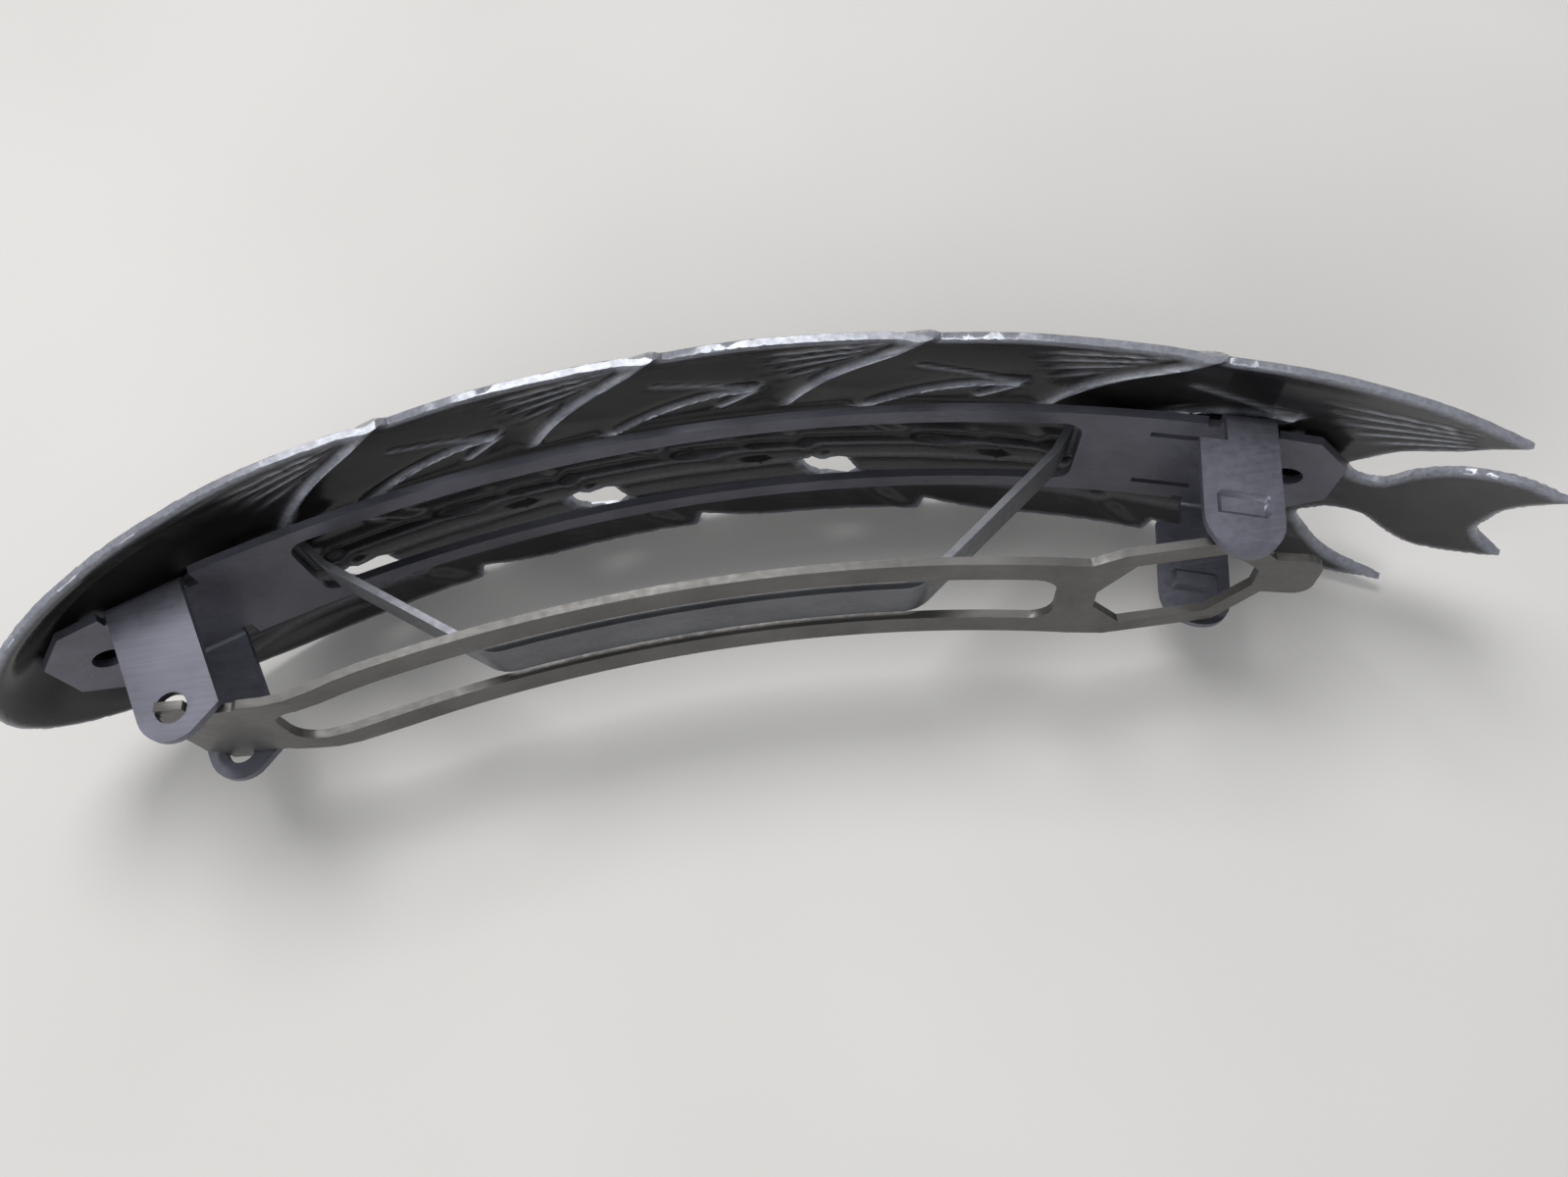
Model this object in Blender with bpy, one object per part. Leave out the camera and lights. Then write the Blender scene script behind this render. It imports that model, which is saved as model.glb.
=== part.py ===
"""A barrette: a curved leaf ornament that carries a hinged spring clasp on its back.

The part stands on one long edge. X runs from the hinge end to the catch end, Y points to the
decorated side and Z runs across the width. The pieces are laid out about the clip's centre line,
and a parent empty then lifts them so that the part stands on its lower edge.

The clip base, the clasp arm and the tension bow are made as a press shop makes them: a flat blank
with its holes is cut out of sheet, and the blank is then bent along a route and folded at its sides.
"""
import math

import bmesh
import bpy
from mathutils import Vector

MM = 0.001

# Clip base, one folded blank
SHEET = 0.55 * MM                # thickness of the base and of the arm
BASE_SPAN = 80 * MM              # straight distance between the two ends of the base
BASE_RADIUS = 104 * MM           # arch of the base along its length
BASE_HALF_WIDTH = 4.8 * MM
BEND_RADIUS = 0.6 * MM           # middle of the sheet, at the folds of the ears and the tabs
TONGUE_HALF_WIDTH = 4.2 * MM
TONGUE_CHAMFER = 2.2 * MM
TONGUE_HOLE_RADIUS = 1.0 * MM
TONGUE_HOLE_INSET = 3.0 * MM     # from the end of the base to the middle of its hole
SLOT_TO_HINGE_END = 16.1 * MM    # from an end of the base to its long slot, along the arch
SLOT_TO_CATCH_END = 16.0 * MM
BASE_SLOT_HALF_WIDTH = 3.5 * MM
BASE_SLOT_CORNER = 1.2 * MM
RELIEF_CUT = 0.7 * MM            # width of the notches beside each fold
RELIEF_DEPTH = 0.3 * MM          # how far a notch runs past its fold line

# Hinge ears of the base
EAR_TO_END = 7.4 * MM            # from the end of the base to the hinge, along the arch
EAR_OUTER = 4.6 * MM             # from the centre line to the outer face of an ear
EAR_END_RADIUS = 2.0 * MM        # round end of an ear, about its hole
EAR_REACH = 2.6 * MM             # from the hinge to the straight side of the ear
EAR_SIDE_LENGTH = 0.9 * MM       # how far the straight side runs past the hinge
EAR_HOLE_RADIUS = 0.95 * MM
PIVOT_DROP = 7.9 * MM            # from the base down to the hinge line

# Catch tabs of the base
TAB_TO_END = 6.8 * MM            # from the end of the base to the neck of a tab
TAB_OUTER = 5.9 * MM             # from the centre line to the outer face of a tab
TAB_NECK_WIDTH = 2.9 * MM
TAB_NECK_LENGTH = 1.9 * MM       # from the base down to the shoulder of the tab
TAB_SHOULDER = 1.6 * MM          # how far the tab is wider than its neck
TAB_DROP = 9.0 * MM              # from the base down to the end of the tab
TAB_LEAN = 1.0 * MM              # how far the end of a tab leans to the catch end
TAB_LIP = 0.35 * MM              # how far the end of a tab turns in under the loop
TAB_LIP_LENGTH = 0.9 * MM
TAB_BAR_DROP = 5.9 * MM          # from the base down to the pressed bar
TAB_BAR_LENGTH = 2.4 * MM
TAB_BAR_WIDTH = 0.9 * MM
TAB_BAR_DEPTH = 0.3 * MM
TAB_BAR_SLOPE = 0.3 * MM
SLIT_OFFSET = 2.95 * MM          # slits that make the tabs springy
SLIT_WIDTH = 0.5 * MM
SLIT_LENGTH = 3.7 * MM

# Clasp arm, one flat blank bent along its length
ARM_APEX_DROP = 10.5 * MM        # from the top of the base's arch to the top of the arm's arch
ARM_RADIUS = 104 * MM
ARM_HALF_WIDTH = 4.2 * MM
ARM_SLOT_HALF_WIDTH = 2.4 * MM
HINGE_TAIL = 1.7 * MM            # the arm runs on past the hinge by this much
HINGE_PLATE_LENGTH = 6.3 * MM    # from the hinge to where the arch of the arm starts
HINGE_PLATE_BEND = 9 * MM        # radius of the bend there
HINGE_PLATE_SLOPE = math.radians(3.5)
HINGE_CORNER = 0.7 * MM
ARM_SLOT_START = 4.6 * MM        # from the hinge to the start of the long slot
ARM_NECK_LENGTH = 1.5 * MM       # solid neck between the long slot and the loop
LOOP_BEFORE_TAB = 8.4 * MM       # from the start of the loop to the middle of the tabs
LOOP_SHOULDER = 2.0 * MM
LOOP_BEND = math.radians(11)     # the loop is bent up from the arch of the arm
FINGER_BEND = math.radians(12)   # and the finger tab is bent back down from the loop
ARM_TWIST = math.radians(6)      # the arm is skewed in its loose hinge, one side towards the base
ARM_TWIST_START = 3.0 * MM       # from the hinge, along the arm
ARM_TWIST_LENGTH = 8.0 * MM
LOOP_RAIL_WIDTH = 1.35 * MM
LOOP_AFTER_TAB = 0.6 * MM        # from the middle of the tabs to where the loop narrows
LOOP_NOSE = 2.4 * MM
FINGER_HALF_WIDTH = 1.9 * MM
FINGER_LENGTH = 2.9 * MM
FINGER_CORNER = 1.1 * MM

# Tension bow, a loose strip of spring steel
BOW_SHEET = 0.45 * MM
BOW_HALF_WIDTH = 1.8 * MM
BOW_END_LENGTH = 2.9 * MM        # how far each end lies on the far side of the base
BOW_EDGE_GAP = 0.55 * MM         # from the end of the base's slot to the strip
BOW_DIP = 1.2 * MM               # how far the strip has come down when it leaves the slot
BOW_SLOPE_LENGTH = 12.0 * MM     # from an end of the base's slot to where the strip meets the arm
BOW_BEND = 2.2 * MM

# Ornament, one domed sheet
ORNAMENT_SHEET = 0.8 * MM
ORNAMENT_RADIUS = 86 * MM        # arch of the rim along its length
ORNAMENT_END_GAP = 0.75 * MM     # between the ends of the base and the hollow of the ornament
ORNAMENT_DOME = 1.8 * MM         # the middle of the sheet stands this far above its rims
ORNAMENT_HALF_WIDTH = 10.7 * MM
HEAD_END = 45.5 * MM             # from the middle of the clip to the round end, along the arch
HEAD_LENGTH = 24.0 * MM          # length of the rounding at that end
HEAD_CURL = 0.80                 # share of the way to the rim at which the round end starts to curl down
FIRST_LEAF_TIP = -16.5 * MM
LEAF_PITCH = 16.1 * MM           # from tip to tip, along the arch
LEAF_COUNT = 4                   # the tail has one more, on each side
LEAF_NOTCH = 0.9 * MM            # step in the rim behind each tip
LEAF_NOTCH_LENGTH = 0.5 * MM
LEAF_SWELL = 6.0 * MM            # the rim is back at full width after this length
PIERCING_BACK = 6.3 * MM         # from a leaf tip back to the pierced lozenge
PIERCING_OFFSET = 6.2 * MM       # from the centre line, on the lower half
PIERCING_LENGTH = 4.4 * MM
PIERCING_WIDTH = 2.6 * MM
PIERCINGS = 3
TAIL_LENGTH = 14.9 * MM          # from the last leaf's full width to the tip of the tail
CURVE_STEPS = 3                  # straight steps between two points of a curved rim
# Rims of the tail, from tip to tip, as shares of its length and of the half width
TAIL_RIMS = (
    ((0.0, 1.0), (0.37, 0.95), (0.72, 0.80)),
    ((0.72, 0.80), (0.54, 0.52), (0.38, 0.32), (0.29, 0.15), (0.24, 0.02), (0.29, -0.075), (0.40, -0.05),
     (0.49, 0.13), (0.62, 0.29), (0.81, 0.38), (1.0, 0.35)),
    ((1.0, 0.35), (0.87, 0.10), (0.83, -0.09), (0.83, -0.24), (0.97, -0.37)),
    ((0.97, -0.37), (0.84, -0.46), (0.66, -0.53), (0.53, -0.49), (0.41, -0.41), (0.295, -0.42),
     (0.20, -0.49), (0.17, -0.58), (0.25, -0.71), (0.39, -0.84), (0.64, -0.91)),
    ((0.64, -0.91), (0.37, -0.98), (0.0, -1.0)),
)

# Solder that holds the base in the hollow of the ornament
SOLDER_RADIUS = 2.3 * MM
SOLDER_TO_BOW = 0.5 * MM         # between the solder and the ends of the bow

# Clearances
SEAT_GAP = 0.15 * MM             # between the solder and the two sheets that it joins
STRIP_GAP = 0.3 * MM             # between the bow's ends and the base
LUG_CLEARANCE = 0.08 * MM        # between a lug's corners and the hole that it turns in
HINGE_SIDE_GAP = 0.2 * MM        # between the hinge plate and an ear
LUG_PROUD = 0.35 * MM            # how far a lug stands out of its ear
CATCH_GAP = 0.15 * MM            # between the loop and the turned-in end of a tab
RAIL_CLEAR = 0.8 * MM            # between an ear and the start of the rails

# Finish and fineness
BLACK_LACQUER = (0.016, 0.013, 0.015)
DARK_STEEL = (0.075, 0.062, 0.072)
SPRING_STEEL = (0.050, 0.042, 0.046)
SOLDER_GREY = (0.16, 0.15, 0.15)
BEND_STEP = 3.0 * MM             # blanks are cut this fine along their length before they are bent
FOLD_STEPS = 4
ROUND_STEPS = 20
SOLDER_SIDES = 20
ARCH_STEP = 4.5 * MM             # the leaf sheet is cut this fine along its length
DOME_STEP = 3.6 * MM             # the leaf sheet is cut this fine across its width
WELD = 0.001 * MM


def start_empty():
    """Remove what the scene holds and make the barrette's collection."""
    for item in list(bpy.data.objects):
        bpy.data.objects.remove(item, do_unlink=True)
    group = bpy.data.collections.new("barrette")
    bpy.context.scene.collection.children.link(group)
    return group


def finish_material(name, colour, metallic, roughness):
    material = bpy.data.materials.new(name)
    material.use_nodes = True
    shader = material.node_tree.nodes["Principled BSDF"]
    shader.inputs["Base Color"].default_value = (*colour, 1.0)
    shader.inputs["Metallic"].default_value = metallic
    shader.inputs["Roughness"].default_value = roughness
    return material


class Route:
    """A line in the XY plane, read by the distance along it. It runs on straight past its ends."""

    def __init__(self, points, zero_at=0.0):
        self.points = points
        self.stations = [-zero_at]
        for first, second in zip(points, points[1:]):
            self.stations.append(self.stations[-1] + (second - first).length)

    def span(self, distance):
        last = len(self.points) - 2
        index = 0
        while index < last and self.stations[index + 1] < distance:
            index += 1
        return index

    def place(self, distance, lift):
        """The point at a distance along the route, lifted to the decorated side of it."""
        index = self.span(distance)
        along = (self.points[index + 1] - self.points[index]).normalized()
        across = Vector((-along.y, along.x))
        return self.points[index] + along * (distance - self.stations[index]) + across * lift

    def distance_at(self, x):
        """The distance along the route at which it reaches an x."""
        index = 0
        while index < len(self.points) - 2 and self.points[index + 1].x < x:
            index += 1
        first, second = self.points[index], self.points[index + 1]
        share = (x - first.x) / (second.x - first.x)
        return self.stations[index] + share * (second - first).length


def arch_height(x, radius, apex):
    return apex - radius + math.sqrt(radius * radius - x * x)


def arch_points(radius, apex, start_x, end_x, step):
    """Points of an arch between two x values."""
    first, last = math.asin(start_x / radius), math.asin(end_x / radius)
    count = max(2, math.ceil(abs(last - first) * radius / step))
    angles = [first + (last - first) * i / count for i in range(count + 1)]
    return [Vector((radius * math.sin(a), apex - radius * (1 - math.cos(a)))) for a in angles]


def fillet(before, corner, after, radius):
    """Points of a round bend that replaces a corner."""
    to_before = (before - corner).normalized()
    to_after = (after - corner).normalized()
    half = to_before.angle(to_after) / 2
    setback = radius / math.tan(half)
    start = corner + to_before * setback
    end = corner + to_after * setback
    bulge = (math.pi / 2 - half)
    middle = (to_before + to_after).normalized()
    centre = corner + middle * (radius / math.sin(half))
    steps = max(2, math.ceil(2 * bulge / math.radians(12)))
    points = []
    for i in range(steps + 1):
        share = i / steps
        mix = (start - centre).lerp(end - centre, share).normalized()
        points.append(centre + mix * radius)
    return points


def circle(centre_u, centre_z, radius, steps=ROUND_STEPS):
    turns = [2 * math.pi * i / steps for i in range(steps)]
    return [(centre_u + radius * math.cos(t), centre_z + radius * math.sin(t)) for t in turns]


def round_part(centre_u, centre_z, radius, start, end, steps):
    """Points of part of a circle, from one angle in degrees to another."""
    angles = [math.radians(start + (end - start) * i / steps) for i in range(steps + 1)]
    return [(centre_u + radius * math.cos(a), centre_z + radius * math.sin(a)) for a in angles]


def rounded_slot(start, end, half_width, corner, steps=5):
    """Outline of a slot with round corners."""
    outline = []
    corners = ((end - corner, half_width - corner, 0), (start + corner, half_width - corner, 90),
               (start + corner, corner - half_width, 180), (end - corner, corner - half_width, 270))
    for u, z, turn in corners:
        outline += round_part(u, z, corner, turn, turn + 90, steps)
    return outline


def both_sides(half):
    """Close an outline whose first and last points lie on the centre line with its mirror image."""
    mirrored = [(u, -z) for u, z in reversed(half[1:-1])]
    return half + mirrored


def outline_mesh(name, outlines, half_thickness, group):
    """A flat plate with holes: a filled two-dimensional curve, made a closed mesh."""
    curve = bpy.data.curves.new(name + "_outline", "CURVE")
    curve.dimensions = "2D"
    curve.fill_mode = "BOTH"
    curve.extrude = half_thickness
    for outline in outlines:
        spline = curve.splines.new("POLY")
        spline.points.add(len(outline) - 1)
        for point, (u, z) in zip(spline.points, outline):
            point.co = (u, z, 0.0, 1.0)
        spline.use_cyclic_u = True
    drawing = bpy.data.objects.new(name + "_drawing", curve)
    group.objects.link(drawing)
    bpy.context.view_layer.update()
    evaluated = drawing.evaluated_get(bpy.context.evaluated_depsgraph_get())
    mesh = bpy.data.meshes.new_from_object(evaluated)
    mesh.name = name
    bpy.data.objects.remove(drawing, do_unlink=True)
    bpy.data.curves.remove(curve)
    blank = bmesh.new()
    blank.from_mesh(mesh)
    bmesh.ops.remove_doubles(blank, verts=blank.verts, dist=WELD)
    bmesh.ops.recalc_face_normals(blank, faces=blank.faces)
    blank.to_mesh(mesh)
    blank.free()
    return mesh


def slice_mesh(blank, places, axis):
    """Cut edges into a blank where it is to bend."""
    normal = Vector((1, 0, 0)) if axis == 0 else Vector((0, 1, 0))
    for place in places:
        parts = blank.verts[:] + blank.edges[:] + blank.faces[:]
        bmesh.ops.bisect_plane(blank, geom=parts, dist=WELD, plane_co=normal * place, plane_no=normal)


def face_outwards(shape):
    """Turn the faces of a closed shape to the outside."""
    bmesh.ops.recalc_face_normals(shape, faces=shape.faces)
    if shape.calc_volume(signed=True) < 0:
        bmesh.ops.reverse_faces(shape, faces=shape.faces)


def bent_object(name, mesh, cuts_u, cuts_z, bend, origin, group, material):
    """Slice a flat blank, move its points by a bending rule and make it an object."""
    blank = bmesh.new()
    blank.from_mesh(mesh)
    slice_mesh(blank, cuts_u, 0)
    slice_mesh(blank, cuts_z, 1)
    bmesh.ops.triangulate(blank, faces=blank.faces)
    for vertex in blank.verts:
        vertex.co = bend(*vertex.co) - origin
    face_outwards(blank)
    blank.to_mesh(mesh)
    blank.free()
    mesh.materials.clear()
    mesh.materials.append(material)
    mesh.shade_smooth()
    mesh.set_sharp_from_angle(angle=math.radians(30))
    item = bpy.data.objects.new(name, mesh)
    item.location = origin
    group.objects.link(item)
    return item


def steps_between(start, end, step):
    count = max(1, math.ceil((end - start) / step))
    return [start + (end - start) * i / count for i in range(1, count)]


# Lines that several pieces share

BASE_APEX = 0.0
BASE_ARC = 2 * BASE_RADIUS * math.asin(BASE_SPAN / 2 / BASE_RADIUS)
EAR_AT = BASE_ARC / 2 - EAR_TO_END
TAB_AT = BASE_ARC / 2 - TAB_TO_END
BASE_SLOT_LEFT = BASE_ARC / 2 - SLOT_TO_HINGE_END
BASE_SLOT_RIGHT = BASE_ARC / 2 - SLOT_TO_CATCH_END
FOLD_LENGTH = BEND_RADIUS * math.pi / 2
EAR_FOLD = EAR_OUTER - SHEET / 2 - BEND_RADIUS
TAB_FOLD = TAB_OUTER - SHEET / 2 - BEND_RADIUS
EAR_INNER = EAR_OUTER - SHEET
TAB_INNER = TAB_OUTER - SHEET
ARM_APEX = BASE_APEX - ARM_APEX_DROP
BASE_END_Y = arch_height(BASE_SPAN / 2, BASE_RADIUS, BASE_APEX)
HOLLOW_END_Y = BASE_END_Y + SHEET / 2 + ORNAMENT_END_GAP + ORNAMENT_SHEET / 2
RIM_APEX = HOLLOW_END_Y - ORNAMENT_DOME - arch_height(BASE_SPAN / 2, ORNAMENT_RADIUS, 0.0)
LOOP_HALF_WIDTH = TAB_INNER - TAB_LIP - CATCH_GAP
TAB_LEFT = TAB_AT - TAB_NECK_WIDTH / 2 - TAB_SHOULDER
TAB_RIGHT = TAB_AT + TAB_NECK_WIDTH / 2


def base_frame(distance):
    """Point on the arch of the base, with the directions along it and out of it."""
    angle = distance / BASE_RADIUS
    point = Vector((BASE_RADIUS * math.sin(angle), BASE_APEX - BASE_RADIUS * (1 - math.cos(angle))))
    along = Vector((math.cos(angle), -math.sin(angle)))
    out = Vector((math.sin(angle), math.cos(angle)))
    return point, along, out


def pivot_point():
    point, _, out = base_frame(-EAR_AT)
    return point - out * PIVOT_DROP


def drop_to_flat(drop, fold):
    """Place on the flat blank, from its centre line, of what hangs this far below the base."""
    return fold + FOLD_LENGTH + drop - BEND_RADIUS


def soft_step(value, start, end):
    share = min(1.0, max(0.0, (value - start) / (end - start)))
    return share * share * (3 - 2 * share)


def dome_height(u, z):
    """How far the ornament's sheet stands above the arch of its rim. Its round end curls down to it."""
    across = z / ORNAMENT_HALF_WIDTH
    past = max(0.0, (HEAD_LENGTH - HEAD_END - u) / HEAD_LENGTH)
    curl = soft_step(math.hypot(across, past), HEAD_CURL, 1.0) * soft_step(past, 0.0, 0.35)
    return ORNAMENT_DOME * (1 - across * across) * (1 - curl)


def hollow_height(x, z, gap):
    """Height of the hollow of the ornament, at a gap from its sheet."""
    u = ORNAMENT_RADIUS * math.asin(x / (ORNAMENT_RADIUS + ORNAMENT_DOME))
    radius = ORNAMENT_RADIUS + dome_height(u, z) - ORNAMENT_SHEET / 2 - gap
    return RIM_APEX - ORNAMENT_RADIUS + math.sqrt(radius * radius - x * x)


# Clip base

def ear_outline():
    """One ear on the flat blank, from its left side to its right side."""
    hole = drop_to_flat(PIVOT_DROP, EAR_FOLD)
    left, right = -EAR_AT - EAR_END_RADIUS, -EAR_AT + EAR_REACH
    root = EAR_FOLD - RELIEF_DEPTH
    rounding = round_part(-EAR_AT, hole, EAR_END_RADIUS, 180, 60, 10)
    notch_left = [(left - RELIEF_CUT, TONGUE_HALF_WIDTH), (left - RELIEF_CUT, root), (left, root)]
    notch_right = [(right, root), (right + RELIEF_CUT, root), (right + RELIEF_CUT, BASE_HALF_WIDTH)]
    return notch_left + rounding + [(right, hole + EAR_SIDE_LENGTH)] + notch_right


def tab_outline():
    """One catch tab on the flat blank, from its left side to its right side."""
    neck_left = TAB_AT - TAB_NECK_WIDTH / 2
    root = BASE_HALF_WIDTH - RELIEF_DEPTH
    tongue_root = TONGUE_HALF_WIDTH - RELIEF_DEPTH
    shoulder = drop_to_flat(TAB_NECK_LENGTH, TAB_FOLD)
    radius = (TAB_RIGHT - TAB_LEFT) / 2
    middle = (TAB_LEFT + TAB_RIGHT) / 2
    end = drop_to_flat(TAB_DROP, TAB_FOLD) - radius
    start = [(neck_left - RELIEF_CUT, BASE_HALF_WIDTH), (neck_left - RELIEF_CUT, root), (neck_left, root)]
    body = [(neck_left, shoulder), (TAB_LEFT, shoulder)]
    rounding = round_part(middle, end, radius, 180, 0, 14)
    finish = [(TAB_RIGHT, tongue_root), (TAB_RIGHT + RELIEF_CUT, tongue_root),
              (TAB_RIGHT + RELIEF_CUT, TONGUE_HALF_WIDTH)]
    return start + body + rounding + finish


def base_blank():
    """Outlines of the flat base: its edge first, then its holes."""
    end = BASE_ARC / 2
    chamfered = TONGUE_HALF_WIDTH - TONGUE_CHAMFER
    half = [(-end, 0.0), (-end, chamfered), (-end + TONGUE_CHAMFER, TONGUE_HALF_WIDTH)]
    half += ear_outline() + tab_outline()
    half += [(end - TONGUE_CHAMFER, TONGUE_HALF_WIDTH), (end, chamfered), (end, 0.0)]
    outlines = [both_sides(half)]
    outlines.append(rounded_slot(-BASE_SLOT_LEFT, BASE_SLOT_RIGHT, BASE_SLOT_HALF_WIDTH, BASE_SLOT_CORNER))
    hole = drop_to_flat(PIVOT_DROP, EAR_FOLD)
    slit_end = TAB_AT - TAB_NECK_WIDTH / 2
    for side in (-1, 1):
        outlines.append(circle(side * (end - TONGUE_HOLE_INSET), 0.0, TONGUE_HOLE_RADIUS))
        outlines.append(circle(-EAR_AT, side * hole, EAR_HOLE_RADIUS))
        low, high = SLIT_OFFSET - SLIT_WIDTH / 2, SLIT_OFFSET + SLIT_WIDTH / 2
        start = slit_end - SLIT_LENGTH
        corners = [(start, low), (slit_end, low), (slit_end, high), (start, high)]
        outlines.append([(u, side * z) for u, z in corners])
    return outlines


def ramp(value, start, length):
    return min(1.0, max(0.0, (value - start) / length))


def tab_inset(u, drop):
    """How far a point of a tab is pressed towards the centre line."""
    lip = TAB_LIP * ramp(drop, TAB_DROP - TAB_LIP_LENGTH, TAB_LIP_LENGTH)
    middle = (TAB_LEFT + TAB_RIGHT) / 2
    beside = 1 - ramp(abs(u - middle), TAB_BAR_LENGTH / 2, TAB_BAR_SLOPE)
    across = 1 - ramp(abs(drop - TAB_BAR_DROP), TAB_BAR_WIDTH / 2, TAB_BAR_SLOPE)
    return lip + TAB_BAR_DEPTH * min(beside, across)


def bend_base(u, z, lift):
    """Arch the flat base along its length and fold its ears and tabs down."""
    on_ear = -EAR_AT - EAR_END_RADIUS - WELD <= u <= -EAR_AT + EAR_REACH + WELD
    on_tab = TAB_LEFT - WELD <= u <= TAB_RIGHT + WELD
    fold = EAR_FOLD if on_ear else TAB_FOLD
    past = abs(z) - fold if on_ear or on_tab else 0.0
    side = math.copysign(1.0, z)
    if past <= WELD:
        point, _, out = base_frame(u)
        place = point + out * lift
        return Vector((place.x, place.y, z))
    if past < FOLD_LENGTH:
        turn = past / BEND_RADIUS
        width = fold + (BEND_RADIUS + lift) * math.sin(turn)
        drop = BEND_RADIUS - (BEND_RADIUS + lift) * math.cos(turn)
    else:
        drop = BEND_RADIUS + past - FOLD_LENGTH
        width = fold + BEND_RADIUS + lift
        if on_tab:
            width -= tab_inset(u, drop)
    anchor = -EAR_AT if on_ear else TAB_AT
    lean = 0.0 if on_ear else TAB_LEAN * drop / TAB_DROP
    point, along, out = base_frame(anchor)
    place = point + along * (u - anchor + lean) - out * drop
    return Vector((place.x, place.y, side * width))


def base_fold_cuts():
    """Places across the flat base at which the folds and the pressed bar need edges."""
    cuts = []
    for fold in (EAR_FOLD, TAB_FOLD):
        cuts += [fold + FOLD_LENGTH * i / FOLD_STEPS for i in range(FOLD_STEPS + 1)]
    bar = drop_to_flat(TAB_BAR_DROP, TAB_FOLD)
    for edge in (TAB_BAR_WIDTH / 2, TAB_BAR_WIDTH / 2 + TAB_BAR_SLOPE):
        cuts += [bar - edge, bar + edge]
    cuts.append(drop_to_flat(TAB_DROP - TAB_LIP_LENGTH, TAB_FOLD))
    return cuts + [-cut for cut in cuts]


def bar_cuts():
    middle = (TAB_LEFT + TAB_RIGHT) / 2
    reach = (TAB_BAR_LENGTH / 2, TAB_BAR_LENGTH / 2 + TAB_BAR_SLOPE)
    return [middle + side * edge for side in (-1, 1) for edge in reach]


def make_clip_base(group, material):
    mesh = outline_mesh("clip_base", base_blank(), SHEET / 2, group)
    along = steps_between(-BASE_ARC / 2, BASE_ARC / 2, BEND_STEP) + bar_cuts()
    return bent_object("clip_base", mesh, along, base_fold_cuts(), bend_base,
                       Vector((0, 0, 0)), group, material)


# Clasp arm

def arm_route():
    """Side view of the arm: a hinge plate, an arch that follows the base and a straight end."""
    pivot = pivot_point()
    down = Vector((math.cos(HINGE_PLATE_SLOPE), -math.sin(HINGE_PLATE_SLOPE)))
    knee = pivot + down * HINGE_PLATE_LENGTH
    knee.y = arch_height(knee.x, ARM_RADIUS, ARM_APEX)
    plate = (knee - pivot).normalized()
    tab_x = catch_x()
    arch = arch_points(ARM_RADIUS, ARM_APEX, knee.x, tab_x - LOOP_BEFORE_TAB, BEND_STEP / 2)
    arch = [point for point in arch if (point - knee).length > HINGE_PLATE_BEND / 4]
    bend = fillet(pivot, knee, arch[1], HINGE_PLATE_BEND)
    heading = math.atan2(arch[-1].y - arch[-2].y, arch[-1].x - arch[-2].x) + LOOP_BEND
    loop_length = LOOP_BEFORE_TAB + LOOP_AFTER_TAB + LOOP_NOSE
    loop_end = arch[-1] + loop_length * Vector((math.cos(heading), math.sin(heading)))
    heading -= FINGER_BEND
    finger_end = loop_end + 2 * FINGER_LENGTH * Vector((math.cos(heading), math.sin(heading)))
    loop_bend = fillet(arch[-2], arch[-1], loop_end, LOOP_SHOULDER)
    finger_bend = fillet(arch[-1], loop_end, finger_end, LOOP_SHOULDER)
    points = [pivot - plate * HINGE_TAIL] + bend + arch[:-1] + loop_bend + finger_bend + [finger_end]
    return Route(points, zero_at=HINGE_TAIL)


def catch_x():
    """Where the middle of the tabs is, at the height of the arm's loop."""
    point, along, out = base_frame(TAB_AT)
    middle = (TAB_LEFT + TAB_RIGHT) / 2
    lean = TAB_LEAN * (TAB_DROP - TAB_LIP_LENGTH) / TAB_DROP
    return (point + along * (middle - TAB_AT + lean) - out * (TAB_DROP - TAB_LIP_LENGTH)).x


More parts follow.
